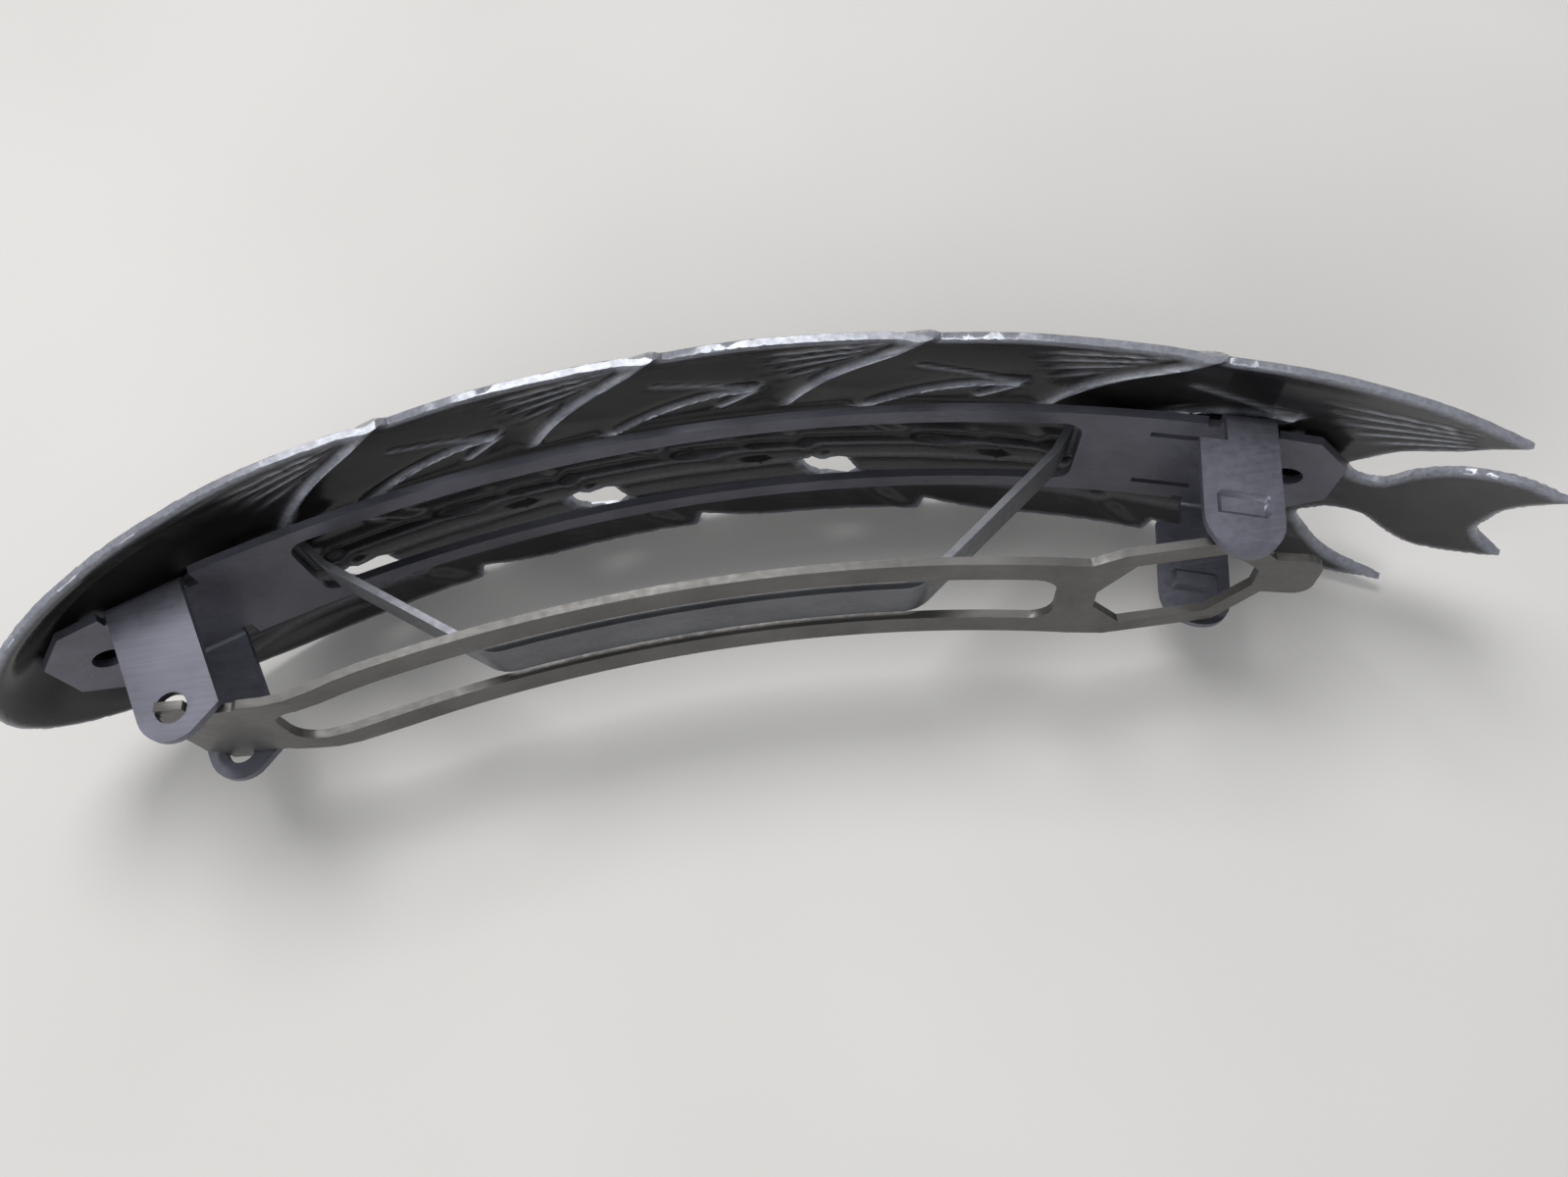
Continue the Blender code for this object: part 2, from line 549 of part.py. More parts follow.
def arm_blank(route):
    """Outlines of the flat arm: its edge, the long slot and the opening of the loop."""
    hinge_half = EAR_INNER - HINGE_SIDE_GAP
    lug_reach = EAR_OUTER + LUG_PROUD
    lug = math.sqrt((EAR_HOLE_RADIUS - LUG_CLEARANCE) ** 2 - (SHEET / 2) ** 2)
    rails = math.hypot(EAR_REACH, EAR_SIDE_LENGTH) + RAIL_CLEAR
    tabs = route.distance_at(catch_x())
    loop = tabs - LOOP_BEFORE_TAB
    nose = tabs + LOOP_AFTER_TAB
    finger = nose + LOOP_NOSE
    tip = finger + FINGER_LENGTH
    half = [(-HINGE_TAIL, 0.0), (-HINGE_TAIL, hinge_half - HINGE_CORNER),
            (-HINGE_TAIL + HINGE_CORNER, hinge_half), (-lug, hinge_half), (-lug, lug_reach),
            (lug, lug_reach), (lug, hinge_half), (rails - RAIL_CLEAR / 2, hinge_half),
            (rails, ARM_HALF_WIDTH), (loop, ARM_HALF_WIDTH), (loop + LOOP_SHOULDER, LOOP_HALF_WIDTH),
            (nose, LOOP_HALF_WIDTH), (finger, FINGER_HALF_WIDTH)]
    half += round_part(tip - FINGER_CORNER, FINGER_HALF_WIDTH - FINGER_CORNER, FINGER_CORNER, 90, 0, 5)
    half.append((tip, 0.0))
    inner = LOOP_HALF_WIDTH - LOOP_RAIL_WIDTH
    left, right = loop + LOOP_RAIL_WIDTH * 0.6, finger - LOOP_RAIL_WIDTH * 0.6
    opening = [(left, 0.0), (left, inner * 0.25), (left + LOOP_SHOULDER, inner),
               (nose - LOOP_RAIL_WIDTH / 2, inner), (right, inner * 0.25), (right, 0.0)]
    slot_end = loop - ARM_NECK_LENGTH
    slot = rounded_slot(ARM_SLOT_START, slot_end, ARM_SLOT_HALF_WIDTH, ARM_SLOT_HALF_WIDTH * 0.6)
    return [both_sides(half), slot, both_sides(opening)], tip


def make_clasp_arm(group, material):
    route = arm_route()
    outlines, tip = arm_blank(route)
    mesh = outline_mesh("clasp_arm", outlines, SHEET / 2, group)
    cuts = [station for station in route.stations if -HINGE_TAIL < station < tip]

    def bend_arm(distance, z, lift):
        twist = ARM_TWIST * soft_step(distance, ARM_TWIST_START, ARM_TWIST_START + ARM_TWIST_LENGTH)
        place = route.place(distance, lift * math.cos(twist) + z * math.sin(twist))
        return Vector((place.x, place.y, z * math.cos(twist) - lift * math.sin(twist)))

    pivot = pivot_point()
    origin = Vector((pivot.x, pivot.y, 0))
    return bent_object("clasp_arm", mesh, cuts, [], bend_arm, origin, group, material)


# Tension bow

def bow_route():
    """Side view of the bow: an end on the far side of the base, down through its slot, along the
    slot of the arm, and up to the other end."""
    seat = SHEET / 2 + STRIP_GAP + BOW_SHEET / 2
    corners = []
    for side, slot_end in ((-1, BASE_SLOT_LEFT), (1, BASE_SLOT_RIGHT)):
        end, _, end_out = base_frame(side * (slot_end + BOW_END_LENGTH))
        edge, along, edge_out = base_frame(side * slot_end)
        inward = along * -side
        over = edge + edge_out * seat + inward * BOW_EDGE_GAP
        under = edge - edge_out * BOW_DIP + inward * (BOW_EDGE_GAP * 2 + BOW_SHEET)
        meet = slot_end - BOW_SLOPE_LENGTH
        landing = Vector((side * meet, arch_height(meet, ARM_RADIUS, ARM_APEX)))
        corners.append((end + end_out * seat, over, under, landing))
    left_end, left_over, left_under, left_meet = corners[0]
    right_end, right_over, right_under, right_meet = corners[1]
    arch = arch_points(ARM_RADIUS, ARM_APEX, left_meet.x, right_meet.x, BEND_STEP)
    tight = BOW_SHEET
    points = [left_end] + fillet(left_end, left_over, left_under, tight)
    points += [left_under]
    points += fillet(left_under, left_meet, arch[1], BOW_BEND) + arch[1:-1]
    points += fillet(arch[-2], right_meet, right_under, BOW_BEND)
    points += [right_under] + fillet(right_under, right_over, right_end, tight) + [right_end]
    return Route(points)


def make_tension_bow(group, material):
    route = bow_route()
    length = route.stations[-1]
    edge = BOW_HALF_WIDTH
    strip = [(0.0, -edge), (length, -edge), (length, edge), (0.0, edge)]
    mesh = outline_mesh("tension_bow", [strip], BOW_SHEET / 2, group)

    def bend_bow(distance, z, lift):
        place = route.place(distance, lift)
        return Vector((place.x, place.y, z))

    origin = Vector((0, 0, 0))
    return bent_object("tension_bow", mesh, route.stations[1:-1], [], bend_bow, origin, group, material)


# Ornament

def leaf_tips():
    """Where the leaf tips are, along the arch."""
    return [FIRST_LEAF_TIP + LEAF_PITCH * i for i in range(LEAF_COUNT)]


def curve_through(points, steps):
    """Points on a smooth curve that passes through the given ones, without the first."""
    run = [Vector(point) for point in points]
    run = [run[0] * 2 - run[1]] + run + [run[-1] * 2 - run[-2]]
    curve = []
    for before, start, end, after in zip(run, run[1:], run[2:], run[3:]):
        for i in range(1, steps + 1):
            t = i / steps
            pull = (end - before) * t + (before * 2 - start * 5 + end * 4 - after) * t ** 2
            pull += (start * 3 - before - end * 3 + after) * t ** 3
            curve.append(tuple(start + pull / 2))
    return curve


def ornament_rim():
    """The upper rim of the ornament as seen from its back, from the round end to the tail."""
    full = ORNAMENT_HALF_WIDTH
    rim = [(-HEAD_END, 0.0)]
    shoulder = HEAD_LENGTH - HEAD_END
    for i in range(1, 15):
        turn = math.pi / 2 * i / 14
        rim.append((shoulder - HEAD_LENGTH * math.cos(turn), full * math.sin(turn)))
    for tip in leaf_tips():
        rim.append((tip, full))
        for share in (0.0, 0.35, 0.7, 1.0):
            sunk = LEAF_NOTCH * (1 - share) ** 2
            rim.append((tip + LEAF_NOTCH_LENGTH + LEAF_SWELL * share, full - sunk))
    return rim


def ornament_outline():
    """The whole rim: the upper one, round the forked tail, and back along the lower one."""
    upper = ornament_rim()
    root = upper[-1][0]
    tail = []
    for rim in TAIL_RIMS:
        places = [(root + TAIL_LENGTH * u, ORNAMENT_HALF_WIDTH * z) for u, z in rim]
        tail += curve_through(places, CURVE_STEPS)
    lower = [(u, -z) for u, z in reversed(upper[1:-1])]
    return upper + tail + lower


def piercing(centre_x, centre_z):
    """A pierced lozenge beside a leaf's edge. It leans the way the leaf's edge runs."""
    reach, height = PIERCING_LENGTH / 2, PIERCING_WIDTH / 2
    shape = ((-1, 0.6), (-0.5, 1), (0.45, 0.6), (1, -0.6), (0.6, -1), (-0.3, -0.85))
    return [(centre_x + reach * u, centre_z + height * z) for u, z in shape]


def ornament_outlines():
    """The rim, and the lozenges pierced beside the first leaves of the lower half."""
    outlines = [ornament_outline()]
    for tip in leaf_tips()[:PIERCINGS]:
        outlines.append(piercing(tip - PIERCING_BACK, -PIERCING_OFFSET))
    return outlines


def bend_ornament(u, z, lift):
    """Arch the flat leaf sheet along its length and dome it across its width."""
    angle = u / ORNAMENT_RADIUS
    radius = ORNAMENT_RADIUS + dome_height(u, z) + lift
    return Vector((radius * math.sin(angle), RIM_APEX - ORNAMENT_RADIUS + radius * math.cos(angle), z))


def make_ornament(group, material):
    """A flat sheet cut to the outline of the leaves, then arched and domed."""
    mesh = outline_mesh("ornament", ornament_outlines(), ORNAMENT_SHEET / 2, group)
    tail_end = ornament_rim()[-1][0] + TAIL_LENGTH
    along = steps_between(-HEAD_END, tail_end, ARCH_STEP)
    across = steps_between(-ORNAMENT_HALF_WIDTH, ORNAMENT_HALF_WIDTH, DOME_STEP)
    return bent_object("ornament", mesh, along, across, bend_ornament, Vector((0, 0, 0)), group, material)


# Solder

def make_solder(name, side, group, material):
    """A pad of solder that fills the space between the base and the ornament."""
    slot_end = BASE_SLOT_LEFT if side < 0 else BASE_SLOT_RIGHT
    x = side * (slot_end + BOW_END_LENGTH + SOLDER_TO_BOW + SOLDER_RADIUS)
    bpy.ops.mesh.primitive_cylinder_add(vertices=SOLDER_SIDES, radius=SOLDER_RADIUS, depth=2)
    pad = bpy.context.object
    pad.name = name
    pad.data.name = name
    for vertex in pad.data.vertices:
        place = Vector((x + vertex.co.x, 0, vertex.co.y))
        outer = BASE_RADIUS + SHEET / 2 + SEAT_GAP
        low = arch_height(place.x, outer, BASE_APEX + outer - BASE_RADIUS)
        high = hollow_height(place.x, place.z, SEAT_GAP)
        place.y = high if vertex.co.z > 0 else low
        vertex.co = place
    shape = bmesh.new()
    shape.from_mesh(pad.data)
    face_outwards(shape)
    shape.to_mesh(pad.data)
    shape.free()
    pad.data.materials.append(material)
    for owner in list(pad.users_collection):
        owner.objects.unlink(pad)
    group.objects.link(pad)
    return pad


def stand_on_edge(pieces, root):
    """Move the part so that its origin is the middle of the bottom of its box."""
    bpy.context.view_layer.update()
    graph = bpy.context.evaluated_depsgraph_get()
    corners = []
    for piece in pieces:
        shape = piece.evaluated_get(graph)
        corners += [shape.matrix_world @ vertex.co for vertex in shape.data.vertices]
    low = Vector([min(c[i] for c in corners) for i in range(3)])
    high = Vector([max(c[i] for c in corners) for i in range(3)])
    root.location = (-(low.x + high.x) / 2, -(low.y + high.y) / 2, -low.z)
    pivot = pivot_point()
    print("box", [round(v / MM, 2) for v in high - low])
    print("clip centre at", [round(v / MM, 3) for v in root.location])
    print("hinge at", [round(v / MM, 3) for v in (pivot.x + root.location.x, pivot.y + root.location.y)])


def main():
    group = start_empty()
    lacquer = finish_material("black_lacquer", BLACK_LACQUER, 0.0, 0.32)
    steel = finish_material("dark_steel", DARK_STEEL, 0.6, 0.42)
    spring = finish_material("spring_steel", SPRING_STEEL, 0.7, 0.38)
    solder = finish_material("solder", SOLDER_GREY, 0.8, 0.45)
    root = bpy.data.objects.new("barrette_root", None)
    group.objects.link(root)
    pieces = [make_ornament(group, lacquer), make_clip_base(group, steel),
              make_clasp_arm(group, steel), make_tension_bow(group, spring),
              make_solder("solder_joint_left", -1, group, solder),
              make_solder("solder_joint_right", 1, group, solder)]
    stand_on_edge(pieces, root)
    for item in pieces:
        item.parent = root


main()
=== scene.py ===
"""The looks of the barrette: the stamped leaf ornament, the blackened French clip and its solder."""

import math

import bpy
from mathutils import Matrix, Vector
from mathutils.kdtree import KDTree


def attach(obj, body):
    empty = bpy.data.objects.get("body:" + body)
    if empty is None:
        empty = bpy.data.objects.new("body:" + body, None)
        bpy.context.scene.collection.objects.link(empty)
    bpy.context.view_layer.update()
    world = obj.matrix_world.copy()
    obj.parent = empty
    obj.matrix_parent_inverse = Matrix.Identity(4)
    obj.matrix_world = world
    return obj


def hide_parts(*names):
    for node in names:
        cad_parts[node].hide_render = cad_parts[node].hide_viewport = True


MM = 0.001

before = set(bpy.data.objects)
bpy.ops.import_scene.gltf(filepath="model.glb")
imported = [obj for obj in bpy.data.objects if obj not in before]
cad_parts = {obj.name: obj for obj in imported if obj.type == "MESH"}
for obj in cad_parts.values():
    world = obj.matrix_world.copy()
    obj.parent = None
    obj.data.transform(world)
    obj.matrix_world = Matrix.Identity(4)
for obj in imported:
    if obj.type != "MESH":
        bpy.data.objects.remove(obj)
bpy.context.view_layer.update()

# Where the clip's own centre line is in the part's frame
CLIP_X = -3.705 * MM
CLIP_Z = 10.7 * MM

# Ornament: the sheet is drawn flat, cut to its outline, then arched and domed
ARCH_RADIUS = 86.0 * MM
ARCH_CENTRE_Y = -78.9075 * MM
DOME = 1.8 * MM              # the middle of the sheet stands this far above its rims
HALF_WIDTH = 10.7 * MM
SHEET = 0.8 * MM
RIM_SHEET = 0.34 * MM        # thickness at the rounded rim
RIM_ROUNDING = 0.55 * MM     # how far in from the rim the rounding starts
HEAD_END = 45.5 * MM         # from the middle of the clip to the round end, along the arch
HEAD_LENGTH = 24.0 * MM      # length of the rounding at that end
HEAD_STEPS = 40
HEAD_CURL = 0.80             # share of the way to the rim at which the round end starts to curl down
CURL_FULL = 0.35             # share of the rounding's length after which it curls in full
FIRST_TIP = -16.5 * MM       # first leaf tip, along the arch from the middle of the clip
PITCH = 16.1 * MM            # from tip to tip
LEAVES = 4
NOTCH = 0.9 * MM             # step in the rim behind each tip
NOTCH_LENGTH = 0.5 * MM
SWELL = 6.0 * MM             # the rim is back at full width after this length
SWELL_STEPS = 8
PIERCINGS = 3
PIERCING_BACK = 6.3 * MM     # from a leaf tip back to the pierced lozenge
PIERCING_OFFSET = 6.2 * MM   # from the centre line, on the lower half
PIERCING_REACH = 2.2 * MM    # half its length
PIERCING_HEIGHT = 1.3 * MM   # half its width
# Corners of a lozenge, as shares of its reach and of its height
PIERCING_SHAPE = ((-1, 0.6), (-0.5, 1), (0.45, 0.6), (1, -0.6), (0.6, -1), (-0.3, -0.85))
TAIL_LENGTH = 14.9 * MM      # from the last leaf's full width to the tip of the tail
TAIL_END = 53.2 * MM         # tip of the tail, along the arch from the middle of the clip
CURVE_STEPS = 8
# Rims of the tail, from tip to tip, as shares of its length and of the half width
TAIL_RIMS = (
    ((0.0, 1.0), (0.37, 0.95), (0.72, 0.80)),
    ((0.72, 0.80), (0.54, 0.52), (0.38, 0.32), (0.29, 0.15), (0.24, 0.02), (0.29, -0.075), (0.40, -0.05),
     (0.49, 0.13), (0.62, 0.29), (0.81, 0.38), (1.0, 0.35)),
    ((1.0, 0.35), (0.87, 0.10), (0.83, -0.09), (0.83, -0.24), (0.97, -0.37)),
    ((0.97, -0.37), (0.84, -0.46), (0.66, -0.53), (0.53, -0.49), (0.41, -0.41), (0.295, -0.42),
     (0.20, -0.49), (0.17, -0.58), (0.25, -0.71), (0.39, -0.84), (0.64, -0.91)),
    ((0.64, -0.91), (0.37, -0.98), (0.0, -1.0)),
)
CELL_LONG = 0.28 * MM        # cells of the fine sheet, along and across
CELL_WIDE = 0.26 * MM
END_SPARE = 1.0 * MM         # the sheet is this much larger than its outline
SIDE_SPARE = 0.5 * MM
RIM_STEP = 0.1 * MM          # spacing of the points that mark the rims
OUTLINE_WELD = 0.001 * MM
CUT_WELD = 0.07 * MM         # merges the slivers that the cut leaves along the rims
SHEET_SMOOTH = 40            # degrees

# Outer leaves: relief pressed into the sheet from its decorated side
EDGE_RAKE = 1.376            # how a trailing edge runs back from its tip, with the depth below the rim
EDGE_CURVE = 46.4            # and how it bends forward, with the square of that depth
EDGE_REACH_PAST = 10 * MM    # how far past its trailing edge a leaf shapes the sheet
EDGE_REACH_BEFORE = 12 * MM  # and how far before it
EDGE_NEAR = 0.26 * MM        # before its edge a leaf stands this much to the back
EDGE_NEAR_FADE = 3.5 * MM
EDGE_DEEP = 0.48 * MM        # past that edge the next leaf stands this much to the front
EDGE_DEEP_FADE = 3.0 * MM
EDGE_START = 0.1 * MM        # softness of the step between the two
EDGE_RISE = 0.3 * MM
EDGE_FALL = 0.4 * MM
EDGE_SHALLOW = 0.75          # share of the step that is lost at the rim
EDGE_SHALLOW_FROM = 8.8 * MM
STEM_START = 1.0 * MM        # the leaves fade in between these distances from the centre line
STEM_END = 3.0 * MM
BEAD = 0.45 * MM             # rolled bead along a trailing edge
BEAD_WIDTH = 0.42 * MM
BEAD_LOSS = 0.5              # share of the bead that is lost at the rim
BEAD_LOSS_FROM = 9.6 * MM
GROOVE = 0.11 * MM           # fine grooves that fan out from a tip
GROOVE_TURN = math.radians(6.0)
GROOVE_START = 0.9 * MM      # they fade in between these distances from the trailing edge
GROOVE_FULL = 1.7 * MM
# lightened crests of the fan grooves: painted highlight, with some wear
GROOVE_CREST_WEAR_AND_SHEEN = 0.5
FAN_ABOVE = 0.2 * MM         # the middle of the fan lies this far above the rim
FAN_AHEAD = 1.5 * MM         # and this far ahead of the tip
FAN_IN = (3.5 * MM, 5.5 * MM)    # distances from its middle at which the fan fades in
FAN_OUT = (9 * MM, 13 * MM)      # and out again
FAN_FROM_RIM = (math.radians(5), math.radians(8))    # and angles from the rim at which it fades in
RUB_AND_SHEEN_SHARPNESS = 2.5          # how much narrower the lighter line, partly wear and partly painted highlight, is than the bead that it lies on
FRONT_RUB_PAST = 0.5 * MM    # on the decorated side the rubbed line lies this far past the edge
FRONT_RUB_WIDTH = 0.45 * MM
TAIL_LEAF_TIP = 49.0 * MM    # the tail's upper leaf has only grooves
TAIL_LEAF_DROP = 1.6 * MM    # how far its tip lies below the rim of the others
TAIL_LEAF_IN = (3 * MM, 5 * MM)

# Inner leaves, placed along from the outer leaf's tip
INNER_START = -4.9 * MM
INNER_TIP = 5.8 * MM
INNER_SPARE = 1.0 * MM       # how far past its ends an inner leaf is shaped
INNER_REACH = 4.5 * MM       # distance of its tip from the centre line
INNER_ROOT = 0.2 * MM        # and of its start
INNER_BEND = 1.7             # how its edge bends between the two
INNER_SLANT = 0.9            # turns a distance across the sheet into one square to the edge
INNER_FADE_IN = (-0.5 * MM, 1.5 * MM)
INNER_FADE_OUT = 0.5 * MM
INNER_NEAR = 0.16 * MM
INNER_NEAR_FADE = 1.6 * MM
INNER_DEEP = 0.46 * MM
INNER_DEEP_FADE = 1.4 * MM
INNER_BEAD = 0.36 * MM
INNER_BEAD_WIDTH = 0.34 * MM
INNER_RUB_PAST = 0.5 * MM
INNER_RUB_WIDTH = 0.4 * MM
# Two short raised lines at its tip: start, end, width, height and how much lighter metal they get, partly
# wear and partly painted highlight
BARB_UNDER = ((3.2 * MM, 2.3 * MM), (5.4 * MM, 3.8 * MM), 0.32 * MM, 0.28 * MM, 0.9)
BARB_UPPER = ((-0.5 * MM, 6.2 * MM), (5.4 * MM, 4.9 * MM), 0.30 * MM, 0.14 * MM, 0.6)

# The rest of the relief
MIDRIB = 0.35 * MM
MIDRIB_WIDTH = 1.0 * MM
LOWER_SHARE = 0.30           # the lower half has weaker leaf edges, and ridges along its length
LOWER_IN = (-1.6 * MM, -0.4 * MM)
RIDGE = 0.11 * MM
RIDGE_PITCH = 1.45 * MM
# lightened crests of the lengthwise ridges: painted highlight, with some wear
RIDGE_CREST_WEAR_AND_SHEEN = 0.14
RIDGE_IN = (1.6 * MM, 2.6 * MM)
RIDGE_OUT = (7.6 * MM, 9.2 * MM)
HEAD_FADE = (6 * MM, 18 * MM)    # the relief fades in at these distances from the round end
TAIL_FADE = (38 * MM, 44 * MM)   # and out at these from the middle of the clip
FRONT_RUBBED = 0.6           # the decorated side gets less lighter metal than the back, where it is partly painted highlight
# lighter metal along the cut rims: mostly a painted highlight, with some wear
RIM_WEAR_AND_SHEEN = 0.4
RIM_WEAR_AND_SHEEN_WIDTH = 0.45 * MM

# Clip: copies of the CAD pieces with eased edges
CAD_WELD = 0.002 * MM
FLAT_ANGLE = 0.6             # degrees: triangles of one flat face are joined again
EASE_ANGLE = 40
EASE_SEGMENTS = 2
CLIP_SMOOTH = 35
FACE_WEIGHT = 100            # large faces give their direction to the normals
CLIP_EASE = 0.09 * MM
BOW_EASE = 0.07 * MM
SOLDER_EASE = 0.2 * MM

# Finishes, each from its dark patches to its light ones
PATCHES = (0.3, 0.7)         # values of the noise between which a finish changes
LACQUER = ((0.012, 0.011, 0.012), (0.024, 0.023, 0.024))
# light bluish metal on beads, crests and rims: partly wear, partly painted highlight
BARE_METAL_AND_SHEEN = ((0.58, 0.61, 0.70), (0.76, 0.79, 0.88))
BASE_STEEL = ((0.085, 0.086, 0.105), (0.150, 0.152, 0.185))
ARM_STEEL = ((0.075, 0.072, 0.068), (0.135, 0.130, 0.122))
BOW_STEEL = ((0.076, 0.078, 0.088), (0.138, 0.142, 0.156))
# lighter steel on eased edges: partly wear, partly a painted edge highlight
EDGE_WEAR_AND_HIGHLIGHT_STEEL = ((0.17, 0.17, 0.185), (0.27, 0.27, 0.29))
STEEL_PATCHES = (0.32, 0.68)
CLIP_ROUGHNESS = 0.40
BOW_ROUGHNESS = 0.36
EDGE_WEAR_AND_HIGHLIGHT_ROUGHNESS = 0.34
SOLDER_GREY = ((0.10, 0.095, 0.095), (0.21, 0.20, 0.20))
FLOOR_GREY = ((0.60, 0.585, 0.56), (0.66, 0.645, 0.62))

# Stage: name, place, size and power of each light
FLOOR_SIZE = 1.6
FLOOR_DROP = 0.02 * MM
LIGHT_AIM = (0, 0, 0.01)
LIGHTS = (
    ("top_softbox", (-0.06, 0.17, 0.38), 0.26, 1.2),
    ("front_softbox", (-0.30, -0.26, 0.25), 0.32, 0.9),
)
SKY_COLOUR = (0.92, 0.95, 1.0, 1.0)
SKY_STRENGTH = 0.40

# Camera, solved from the photograph in the part's frame
CAMERA_PLACE = Vector((1.103, -33.369, 80.269)) * MM
CAMERA_RIGHT = Vector((0.98823, -0.14206, -0.05675))
CAMERA_DOWN = Vector((-0.15295, -0.90954, -0.38645))
CAMERA_FORWARD = Vector((0.00328, 0.39058, -0.92057))
FOCAL_PIXELS = 1250.0
IMAGE_WIDTH = 1599.0
SENSOR = 36.0
CAMERA_CLIP = (0.004, 10)


# Helpers

def deselect():
    if bpy.context.object and bpy.context.object.mode != "OBJECT":
        bpy.ops.object.mode_set(mode="OBJECT")
    bpy.ops.object.select_all(action="DESELECT")


def pick(obj):
    """Make one object the only selected and active one."""
    deselect()
    obj.select_set(True)
    bpy.context.view_layer.objects.active = obj


def apply_all(obj):
    pick(obj)
    for modifier in list(obj.modifiers):
        bpy.ops.object.modifier_apply(modifier=modifier.name)


def edit_all(obj):
    """Open one object in edit mode with all of its mesh selected."""
    pick(obj)
    bpy.ops.object.mode_set(mode="EDIT")
    bpy.ops.mesh.select_all(action="SELECT")


def weld(obj, distance):
    """Merge the points of a closed mesh that lie this near to each other, and face it outwards."""
    edit_all(obj)
    bpy.ops.mesh.remove_doubles(threshold=distance)
    bpy.ops.mesh.normals_make_consistent(inside=False)
    bpy.ops.object.mode_set(mode="OBJECT")


def smooth_by_angle(obj, degrees):
    pick(obj)
    bpy.ops.object.shade_smooth_by_angle(angle=math.radians(degrees))


def step(value, start, end):
    share = min(1.0, max(0.0, (value - start) / (end - start)))
    return share * share * (3 - 2 * share)


# Ornament outline, on the flat sheet

def tips():
    return [FIRST_TIP + PITCH * i for i in range(LEAVES)]


def curve_through(points):
    """Points on a smooth curve that passes through the given ones, without the first."""
    run = [Vector(point) for point in points]
    run = [run[0] * 2 - run[1]] + run + [run[-1] * 2 - run[-2]]
    curve = []
    for before, start, end, after in zip(run, run[1:], run[2:], run[3:]):
        for i in range(1, CURVE_STEPS + 1):
            t = i / CURVE_STEPS
            pull = (end - before) * t + (before * 2 - start * 5 + end * 4 - after) * t ** 2
            pull += (start * 3 - before - end * 3 + after) * t ** 3
            curve.append(tuple(start + pull / 2))
    return curve


def upper_rim():
    """The upper rim, from the round end to the tail."""
    rim = [(-HEAD_END, 0.0)]
    for i in range(1, HEAD_STEPS + 1):
        turn = math.pi / 2 * i / HEAD_STEPS
        rim.append((HEAD_LENGTH * (1 - math.cos(turn)) - HEAD_END, HALF_WIDTH * math.sin(turn)))
    for tip in tips():
        rim.append((tip, HALF_WIDTH))
        for i in range(SWELL_STEPS + 1):
            share = i / SWELL_STEPS
            rim.append((tip + NOTCH_LENGTH + SWELL * share, HALF_WIDTH - NOTCH * (1 - share) ** 2))
    return rim


def whole_rim():
    """The upper rim, round the forked tail, and back along the lower rim."""
    upper = upper_rim()
    tail = []
    for rim in TAIL_RIMS:
        tail += curve_through([(TAIL_END - TAIL_LENGTH * (1 - u), HALF_WIDTH * w) for u, w in rim])
    return upper + tail + [(u, -w) for u, w in reversed(upper[1:-1])]


def piercing_points(centre_u, centre_w):
    return [(centre_u + PIERCING_REACH * u, centre_w + PIERCING_HEIGHT * w) for u, w in PIERCING_SHAPE]


def sheet_outlines():
    """The rim, and the lozenges pierced beside the first leaves of the lower half."""
    outlines = [whole_rim()]
    for tip in tips()[:PIERCINGS]:
        outlines.append(piercing_points(tip - PIERCING_BACK, -PIERCING_OFFSET))
    return outlines


# Ornament relief. On the flat sheet u runs along it and w across it, and s is the size of w

def outer_edge(s):
    """Where a leaf's trailing edge lies, along from its tip. Below the rim it is negative: it runs back."""
    depth = HALF_WIDTH - s
    return EDGE_CURVE * depth * depth - EDGE_RAKE * depth


def bump_at(value, width):
    return math.exp(-(value / width) ** 2)


def overlap(before, near, deep, near_fade, deep_fade):
    """Height across a leaf's edge: near the back before it, then deeper, fading away on both sides."""
    if before > 0:
        return -near * math.exp(-before / near_fade) * step(before, -EDGE_START, EDGE_RISE)
    return deep * math.exp(before / deep_fade) * (1 - step(before, -EDGE_FALL, 0.0))


def to_line(u, s, start, end):
    """Distance from a point to a short straight line."""
    point, first, run = Vector((u, s)), Vector(start), Vector(end) - Vector(start)
    share = min(1.0, max(0.0, (point - first).dot(run) / run.length_squared))
    return (point - first - run * share).length


def fan_grooves(u, s, tip):
    """Fine grooves that fan out from a leaf's tip, below its rim, as a wave from -1 to 1."""
    depth, back = HALF_WIDTH + FAN_ABOVE - s, tip + FAN_AHEAD - u
    reach, turn = math.hypot(depth, back), math.atan2(depth, back)
    fan = step(reach, *FAN_IN) * (1 - step(reach, *FAN_OUT))
    fan *= step(turn, *FAN_FROM_RIM)
    return fan * math.cos(2 * math.pi * turn / GROOVE_TURN)


def crest(wave):
    """How much a wave is lightened on the back, which its lowest parts come nearest to: partly wear, partly
    painted highlight.
    """
    return max(0.0, -wave) ** 2


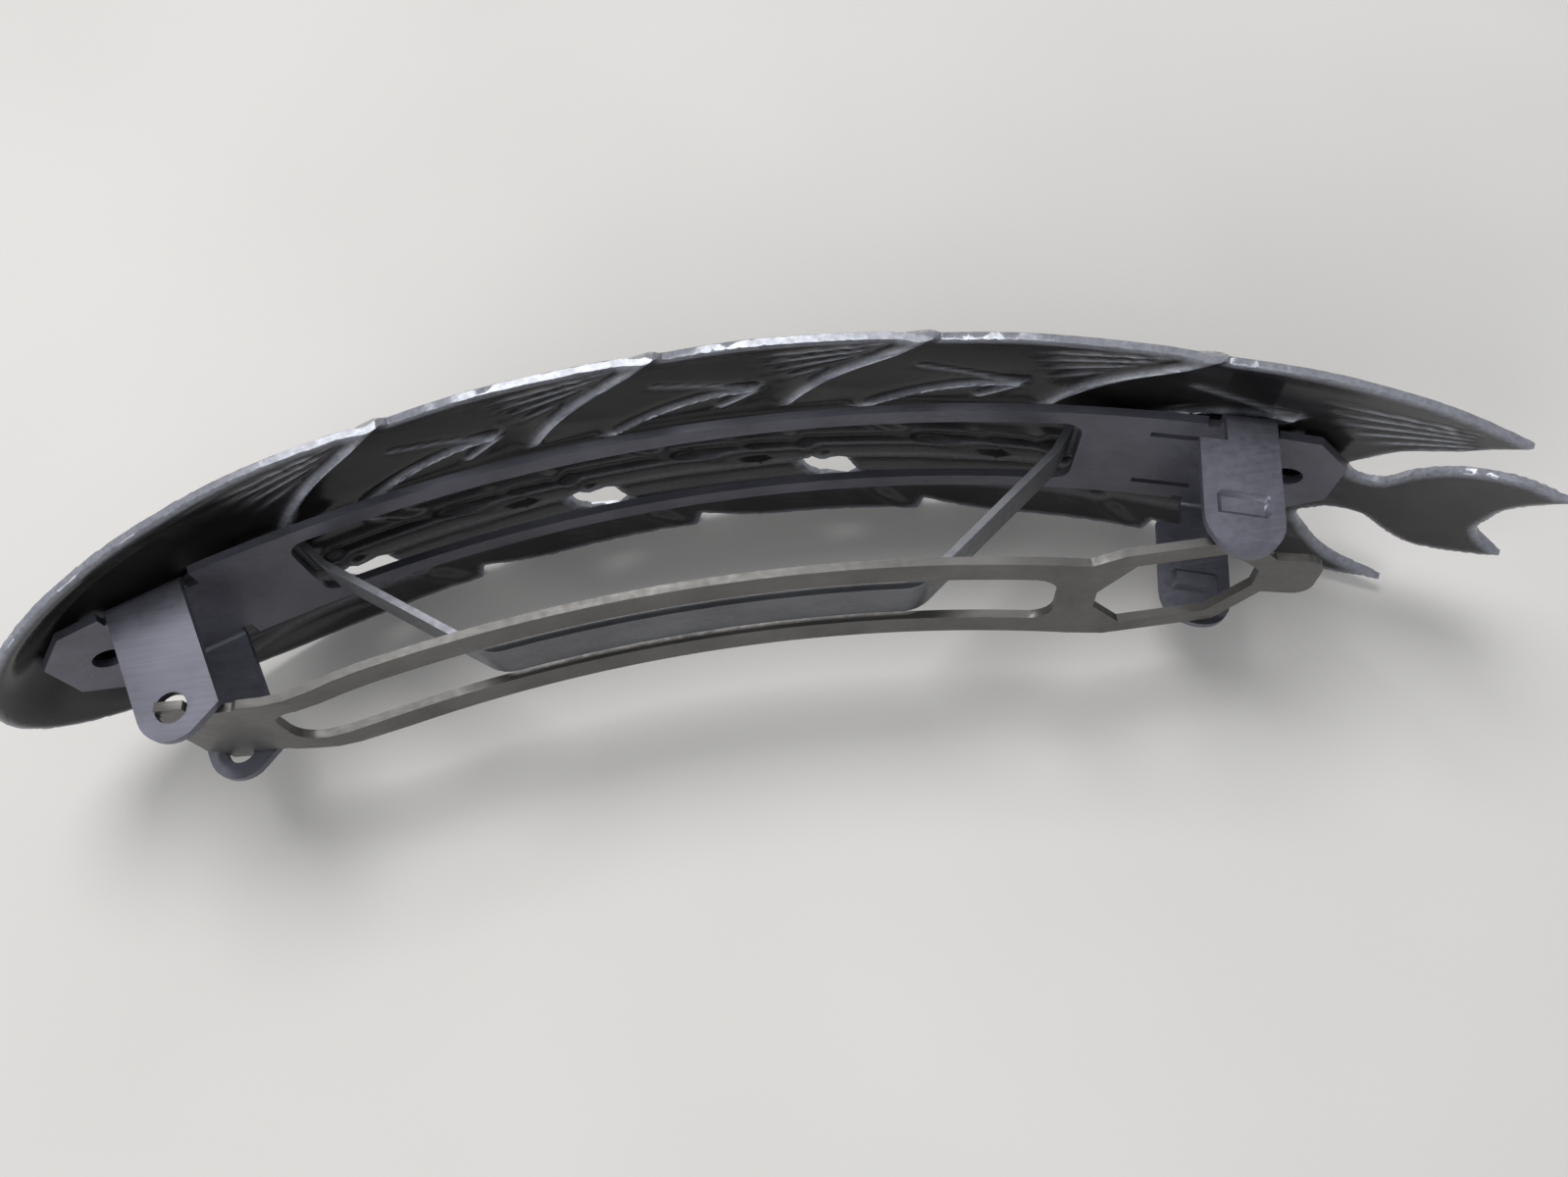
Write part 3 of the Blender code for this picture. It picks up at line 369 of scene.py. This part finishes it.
def outer_relief(u, s, tip):
    """An outer leaf: it comes nearer to its rolled trailing edge, with grooves that fan from its tip."""
    slope = EDGE_RAKE - 2 * EDGE_CURVE * (HALF_WIDTH - s)
    before = (tip + outer_edge(s) - u) / math.sqrt(1 + slope * slope)
    if not -EDGE_REACH_PAST < before < EDGE_REACH_BEFORE:
        return 0.0, 0.0, 0.0
    shallow = 1 - EDGE_SHALLOW * step(s, EDGE_SHALLOW_FROM, HALF_WIDTH)
    bead = bump_at(before - BEAD_WIDTH, BEAD_WIDTH) * (1 - BEAD_LOSS * step(s, BEAD_LOSS_FROM, HALF_WIDTH))
    height = shallow * overlap(before, EDGE_NEAR, EDGE_DEEP, EDGE_NEAR_FADE, EDGE_DEEP_FADE) - BEAD * bead
    wave = fan_grooves(u, s, tip) * step(before, GROOVE_START, GROOVE_FULL)
    height += GROOVE * wave
    present = step(s, STEM_START, STEM_END)
    # lighter metal on the bead and the groove crests: partly wear, partly painted highlight
    back = max(bead ** RUB_AND_SHEEN_SHARPNESS, GROOVE_CREST_WEAR_AND_SHEEN * crest(wave))
    front = bump_at(before + FRONT_RUB_PAST, FRONT_RUB_WIDTH)
    return height * present, back * present, front * present


def inner_relief(u, s, tip):
    """An inner leaf: a slim blade that comes out from under the outer one and ends in a point."""
    along = u - tip
    if not INNER_START - INNER_SPARE < along < INNER_TIP + INNER_SPARE:
        return 0.0, 0.0, 0.0
    left = min(1.0, max(0.0, (INNER_TIP - along) / (INNER_TIP - INNER_START)))
    before = INNER_SLANT * (s - INNER_REACH + (INNER_REACH - INNER_ROOT) * left ** INNER_BEND)
    fade = step(along, INNER_START + INNER_FADE_IN[0], INNER_START + INNER_FADE_IN[1])
    fade *= 1 - step(along, INNER_TIP - INNER_FADE_OUT, INNER_TIP + INNER_FADE_OUT)
    bead = bump_at(before - INNER_BEAD_WIDTH, INNER_BEAD_WIDTH)
    height = overlap(before, INNER_NEAR, INNER_DEEP, INNER_NEAR_FADE, INNER_DEEP_FADE) - INNER_BEAD * bead
    # lighter metal on the inner bead and barbs: partly wear, partly painted highlight
    back = bead
    for start, end, width, tall, rubbed_and_sheen in (BARB_UNDER, BARB_UPPER):
        barb = bump_at(to_line(along, s, start, end), width)
        height -= tall * barb
        back = max(back, rubbed_and_sheen * barb)
    front = bump_at(before + INNER_RUB_PAST, INNER_RUB_WIDTH)
    return fade * height, fade * back ** RUB_AND_SHEEN_SHARPNESS, fade * front


def relief(u, w):
    """How far the sheet is raised to the decorated side, and how much lighter metal its back and its front
    get: wear, and on the back partly painted highlight.
    """
    s = abs(w)
    height, back, front = 0.0, 0.0, 0.0
    for tip in tips():
        for leaf in (outer_relief, inner_relief):
            rise, back_wear_and_sheen, rubbed_front = leaf(u, s, tip)
            height += rise
            back = max(back, back_wear_and_sheen)
            front = max(front, rubbed_front)
    lower = 1 - step(w, *LOWER_IN)
    ridges = step(s, *RIDGE_IN) * (1 - step(s, *RIDGE_OUT))
    ridges *= lower * math.cos(2 * math.pi * s / RIDGE_PITCH)
    strength = 1 - (1 - LOWER_SHARE) * lower
    height = height * strength + RIDGE * ridges + MIDRIB * bump_at(s, MIDRIB_WIDTH)
    ends = step(u, HEAD_FADE[0] - HEAD_END, HEAD_FADE[1] - HEAD_END) * (1 - step(u, *TAIL_FADE))
    tail = fan_grooves(u, s + TAIL_LEAF_DROP, TAIL_LEAF_TIP) * step(w, *TAIL_LEAF_IN)
    # lighter metal on ridge and tail groove crests: partly wear, partly painted highlight
    back = max(back * (1 - lower), RIDGE_CREST_WEAR_AND_SHEEN * crest(ridges)) * ends
    back = max(back, GROOVE_CREST_WEAR_AND_SHEEN * crest(tail))
    return height * ends + GROOVE * tail, back, front * strength * ends


def dome_height(u, w):
    """How far the sheet stands above the arch of its rim. Its round end curls down to the rim."""
    across = w / HALF_WIDTH
    past = max(0.0, (HEAD_LENGTH - HEAD_END - u) / HEAD_LENGTH)
    curl = step(math.hypot(across, past), HEAD_CURL, 1.0) * step(past, 0.0, CURL_FULL)
    return DOME * (1 - across * across) * (1 - curl)


def bend_sheet(u, w, lift):
    """Arch and dome a point of the flat sheet."""
    angle = u / ARCH_RADIUS
    radius = ARCH_RADIUS + dome_height(u, w) + lift
    return Vector((CLIP_X + radius * math.sin(angle), ARCH_CENTRE_Y + radius * math.cos(angle), CLIP_Z + w))


def outline_cutter():
    """A tall prism of the ornament's outline, from a filled flat curve."""
    curve = bpy.data.curves.new("leaf_outline", "CURVE")
    curve.dimensions = "2D"
    curve.fill_mode = "BOTH"
    curve.extrude = SHEET * 2
    for outline in sheet_outlines():
        spline = curve.splines.new("POLY")
        spline.points.add(len(outline) - 1)
        for point, (u, w) in zip(spline.points, outline):
            point.co = (u, w, 0.0, 1.0)
        spline.use_cyclic_u = True
    cutter = bpy.data.objects.new("leaf_outline", curve)
    bpy.context.scene.collection.objects.link(cutter)
    pick(cutter)
    bpy.ops.object.convert(target="MESH")
    weld(cutter, OUTLINE_WELD)
    return cutter


def make_ornament():
    """Stamp the leaf ornament out of a fine flat sheet, whose cells lean with the leaves' edges."""
    left, right = -HEAD_END - END_SPARE, TAIL_END - outer_edge(0.0) + END_SPARE
    reach = HALF_WIDTH + SIDE_SPARE
    deselect()
    bpy.ops.mesh.primitive_grid_add(x_subdivisions=round((right - left) / CELL_LONG),
                                    y_subdivisions=round(2 * reach / CELL_WIDE), size=2)
    sheet = bpy.context.object
    sheet.name = "leaf_ornament"
    for vertex in sheet.data.vertices:
        w = vertex.co.y * reach
        u = left + (right - left) * (vertex.co.x + 1) / 2
        vertex.co = (u + outer_edge(abs(w)), w, 0.0)
    wall = sheet.modifiers.new("sheet", "SOLIDIFY")
    wall.thickness = SHEET
    wall.offset = 0.0
    cutter = outline_cutter()
    cut = sheet.modifiers.new("outline", "BOOLEAN")
    cut.operation = "INTERSECT"
    cut.object = cutter
    apply_all(sheet)
    bpy.data.objects.remove(cutter, do_unlink=True)
    weld(sheet, CUT_WELD)
    emboss(sheet)
    smooth_by_angle(sheet, SHEET_SMOOTH)
    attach(sheet, "barrette_body")
    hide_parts("ornament")
    return sheet


def rim_tree():
    """Points along every cut edge of the sheet, to measure how near a vertex is to one."""
    places = []
    for outline in sheet_outlines():
        for first, second in zip(outline, outline[1:] + outline[:1]):
            count = max(1, math.ceil(math.dist(first, second) / RIM_STEP))
            for i in range(count):
                share = i / count
                places.append((first[0] + (second[0] - first[0]) * share,
                               first[1] + (second[1] - first[1]) * share, 0.0))
    tree = KDTree(len(places))
    for index, place in enumerate(places):
        tree.insert(place, index)
    tree.balance()
    return tree


def emboss(sheet):
    """Bend the cut sheet, raise its leaves, round its rims and note where it gets lighter metal, for wear
    and for painted highlights.
    """
    tree = rim_tree()
    worn_and_sheen = sheet.data.attributes.new("worn_and_sheen", "FLOAT", "POINT")
    for vertex in sheet.data.vertices:
        u, w, lift = vertex.co
        rim_gap = tree.find((u, w, 0.0))[2]
        rounding = min(1.0, rim_gap / RIM_ROUNDING)
        thickness = RIM_SHEET + (SHEET - RIM_SHEET) * math.sqrt(1 - (1 - rounding) ** 2)
        height, back, front = relief(u, w)
        rubbed_and_sheen = FRONT_RUBBED * front if lift > 0 else back
        # painted rim highlight, with some wear, fading out inwards from the rim
        rim_wear_and_sheen = RIM_WEAR_AND_SHEEN - RIM_WEAR_AND_SHEEN * min(1.0, rim_gap / RIM_WEAR_AND_SHEEN_WIDTH)
        worn_and_sheen.data[vertex.index].value = max(rubbed_and_sheen, rim_wear_and_sheen)
        vertex.co = bend_sheet(u, w, height + math.copysign(thickness / 2, lift))


# Clip

def eased_copy(node, name, body, width, finishes):
    """A copy of a CAD piece whose sharp edges are eased, as tumbled pressings are, and take its last
    finish: a lighter edge, partly wear, partly painted highlight.
    """
    pick(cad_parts[node])
    bpy.ops.object.duplicate()
    piece = bpy.context.object
    piece.name = name
    edit_all(piece)
    bpy.ops.mesh.remove_doubles(threshold=CAD_WELD)
    bpy.ops.mesh.dissolve_limited(angle_limit=math.radians(FLAT_ANGLE))
    bpy.ops.object.mode_set(mode="OBJECT")
    dress(piece, *finishes)
    ease = piece.modifiers.new("eased_edges", "BEVEL")
    # the last finish goes on the eased edges: a painted edge highlight with some wear
    ease.material = len(finishes) - 1
    ease.width = width
    ease.segments = EASE_SEGMENTS
    ease.limit_method = "ANGLE"
    ease.angle_limit = math.radians(EASE_ANGLE)
    apply_all(piece)
    smooth_by_angle(piece, CLIP_SMOOTH)
    flat = piece.modifiers.new("flat_faces", "WEIGHTED_NORMAL")
    flat.keep_sharp = True
    flat.weight = FACE_WEIGHT
    apply_all(piece)
    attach(piece, body)
    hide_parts(node)
    return piece


# Materials

class Finish:
    """A Principled material with a few procedural layers on Object coordinates."""

    def __init__(self, name):
        self.material = bpy.data.materials.new(name)
        self.material.use_nodes = True
        self.nodes = self.material.node_tree.nodes
        self.links = self.material.node_tree.links
        self.shader = self.nodes["Principled BSDF"]
        self.place = self.nodes.new("ShaderNodeTexCoord").outputs["Object"]

    def noise(self, size, detail=4.0, stretch=(1.0, 1.0, 1.0)):
        """Noise whose features are about this size, stretched along some axes."""
        mapping = self.nodes.new("ShaderNodeMapping")
        mapping.inputs["Scale"].default_value = [1.0 / (size * s) for s in stretch]
        self.links.new(self.place, mapping.inputs["Vector"])
        texture = self.nodes.new("ShaderNodeTexNoise")
        texture.inputs["Scale"].default_value = 1.0
        texture.inputs["Detail"].default_value = detail
        self.links.new(mapping.outputs["Vector"], texture.inputs["Vector"])
        return texture.outputs["Fac"]

    def tones(self, factor, colours, patches=PATCHES):
        """A colour that follows a factor from a dark one to a light one."""
        node = self.nodes.new("ShaderNodeValToRGB")
        for element, place, colour in zip(node.color_ramp.elements, patches, colours):
            element.position = place
            element.color = (*colour, 1.0)
        self.links.new(factor, node.inputs["Fac"])
        return node.outputs["Color"]

    def span(self, factor, low, high, patches=PATCHES):
        """A number that follows a factor from one value to another."""
        node = self.nodes.new("ShaderNodeMapRange")
        node.inputs["From Min"].default_value = patches[0]
        node.inputs["From Max"].default_value = patches[1]
        node.inputs["To Min"].default_value = low
        node.inputs["To Max"].default_value = high
        self.links.new(factor, node.inputs["Value"])
        return node.outputs["Result"]

    def combine(self, operation, first, second):
        """A sum or product of a factor and another factor or a number, kept between 0 and 1."""
        node = self.nodes.new("ShaderNodeMath")
        node.operation = operation
        node.use_clamp = True
        self.links.new(first, node.inputs[0])
        if isinstance(second, float):
            node.inputs[1].default_value = second
        else:
            self.links.new(second, node.inputs[1])
        return node.outputs["Value"]

    def mix(self, factor, first, second):
        node = self.nodes.new("ShaderNodeMix")
        node.data_type = "RGBA"
        self.links.new(factor, node.inputs["Factor"])
        self.links.new(first, node.inputs["A"])
        self.links.new(second, node.inputs["B"])
        return node.outputs["Result"]

    def attribute(self, name):
        node = self.nodes.new("ShaderNodeAttribute")
        node.attribute_name = name
        return node.outputs["Fac"]

    def put(self, socket, value):
        """Give the shader's socket a number, or link it to a layer."""
        if hasattr(value, "is_linked"):
            self.links.new(value, self.shader.inputs[socket])
        else:
            self.shader.inputs[socket].default_value = value

    def bump(self, height, distance, strength):
        node = self.nodes.new("ShaderNodeBump")
        node.inputs["Distance"].default_value = distance
        node.inputs["Strength"].default_value = strength
        self.links.new(height, node.inputs["Height"])
        self.links.new(node.outputs["Normal"], self.shader.inputs["Normal"])


def black_lacquer():
    """Black lacquer on the stamped sheet, turning to light grey metal where marked: partly wear, partly
    painted highlight.
    """
    finish = Finish("ornament_black_lacquer")
    cloud = finish.noise(3.0 * MM)
    grain = finish.noise(0.25 * MM, 2.0)
    worn_and_sheen = finish.attribute("worn_and_sheen")
    patchy = finish.span(finish.noise(0.4 * MM, 4.0), 0.75, 1.0, (0.35, 0.60))
    rubbed_and_sheen = finish.combine("MULTIPLY", worn_and_sheen, patchy)
    black = finish.tones(cloud, LACQUER)
    # light metal mixed in where marked: partly wear, partly painted highlight
    grey = finish.tones(grain, BARE_METAL_AND_SHEEN)
    finish.put("Base Color", finish.mix(rubbed_and_sheen, black, grey))
    finish.put("Roughness", finish.span(cloud, 0.17, 0.27))
    finish.put("Metallic", finish.combine("MULTIPLY", rubbed_and_sheen, 0.85))
    finish.put("Specular IOR Level", 0.45)
    finish.put("Coat Weight", 0.2)
    finish.put("Coat Roughness", 0.12)
    finish.bump(grain, 0.02 * MM, 0.35)
    return finish.material


def blackened_steel(name, colours, roughness):
    """Blackened spring steel with the fine drawn grain of rolled strip."""
    finish = Finish(name)
    cloud = finish.noise(4.0 * MM, 5.0)
    drawn = finish.noise(0.12 * MM, 3.0, (30.0, 1.0, 1.0))
    specks = finish.noise(0.5 * MM, 6.0)
    broad = finish.combine("MULTIPLY", cloud, 0.7)
    fine = finish.combine("MULTIPLY", drawn, 0.3)
    tone = finish.combine("ADD", broad, fine)
    finish.put("Base Color", finish.tones(tone, colours, STEEL_PATCHES))
    finish.put("Metallic", 0.55)
    finish.put("Roughness", finish.span(specks, roughness - 0.07, roughness + 0.09))
    finish.bump(drawn, 0.01 * MM, 0.3)
    return finish.material


def solder_finish():
    """Dull, mottled soft solder."""
    finish = Finish("solder_grey")
    cloud = finish.noise(0.8 * MM, 5.0)
    finish.put("Base Color", finish.tones(cloud, SOLDER_GREY))
    finish.put("Metallic", 0.7)
    finish.put("Roughness", finish.span(cloud, 0.35, 0.55))
    finish.bump(cloud, 0.08 * MM, 0.4)
    return finish.material


def floor_finish():
    finish = Finish("pale_floor")
    cloud = finish.noise(60 * MM, 3.0)
    finish.put("Base Color", finish.tones(cloud, FLOOR_GREY))
    finish.put("Roughness", 0.8)
    return finish.material


def dress(obj, *materials):
    obj.data.materials.clear()
    for material in materials:
        obj.data.materials.append(material)


# Stage

def make_stage():
    deselect()
    bpy.ops.mesh.primitive_plane_add(size=FLOOR_SIZE, location=(0, 0, -FLOOR_DROP))
    floor = bpy.context.object
    floor.name = "floor"
    dress(floor, floor_finish())


def area_light(name, place, size, power):
    deselect()
    bpy.ops.object.light_add(type="AREA", location=place)
    lamp = bpy.context.object
    lamp.name = name
    lamp.data.shape = "DISK"
    lamp.data.size = size
    lamp.data.energy = power
    lamp.rotation_euler = (Vector(LIGHT_AIM) - Vector(place)).to_track_quat("-Z", "Y").to_euler()


def make_light():
    for light in LIGHTS:
        area_light(*light)
    world = bpy.context.scene.world or bpy.data.worlds.new("studio")
    bpy.context.scene.world = world
    world.use_nodes = True
    background = world.node_tree.nodes["Background"]
    background.inputs["Color"].default_value = SKY_COLOUR
    background.inputs["Strength"].default_value = SKY_STRENGTH


def make_camera():
    camera = bpy.data.cameras.new("camera")
    camera.sensor_width = SENSOR
    camera.sensor_fit = "HORIZONTAL"
    camera.lens = SENSOR * FOCAL_PIXELS / IMAGE_WIDTH
    camera.clip_start, camera.clip_end = CAMERA_CLIP
    holder = bpy.data.objects.new("camera", camera)
    bpy.context.scene.collection.objects.link(holder)
    turn = Matrix((CAMERA_RIGHT, -CAMERA_DOWN, -CAMERA_FORWARD)).transposed().to_4x4()
    holder.matrix_world = Matrix.Translation(CAMERA_PLACE) @ turn
    bpy.context.scene.camera = holder


def main():
    bpy.context.scene.view_settings.view_transform = "Standard"
    make_camera()
    dress(make_ornament(), black_lacquer())
    body = "barrette_body"
    # lighter steel for eased edges: painted edge highlight with some wear
    edge_wear_and_highlight = blackened_steel("edge_wear_and_highlight_steel", EDGE_WEAR_AND_HIGHLIGHT_STEEL, EDGE_WEAR_AND_HIGHLIGHT_ROUGHNESS)
    grey = blackened_steel("base_blackened_steel", BASE_STEEL, CLIP_ROUGHNESS)
    brown = blackened_steel("arm_blackened_steel", ARM_STEEL, CLIP_ROUGHNESS)
    spring = blackened_steel("bow_spring_steel", BOW_STEEL, BOW_ROUGHNESS)
    eased_copy("clip_base", "folded_clip_base", body, CLIP_EASE, (grey, edge_wear_and_highlight))
    eased_copy("clasp_arm", "pressed_clasp_arm", "clasp", CLIP_EASE, (brown, edge_wear_and_highlight))
    eased_copy("tension_bow", "sprung_tension_bow", body, BOW_EASE, (spring, edge_wear_and_highlight))
    solder = solder_finish()
    for side in ("left", "right"):
        eased_copy("solder_joint_" + side, "solder_fillet_" + side, body, SOLDER_EASE, (solder,))
    make_stage()
    make_light()


main()
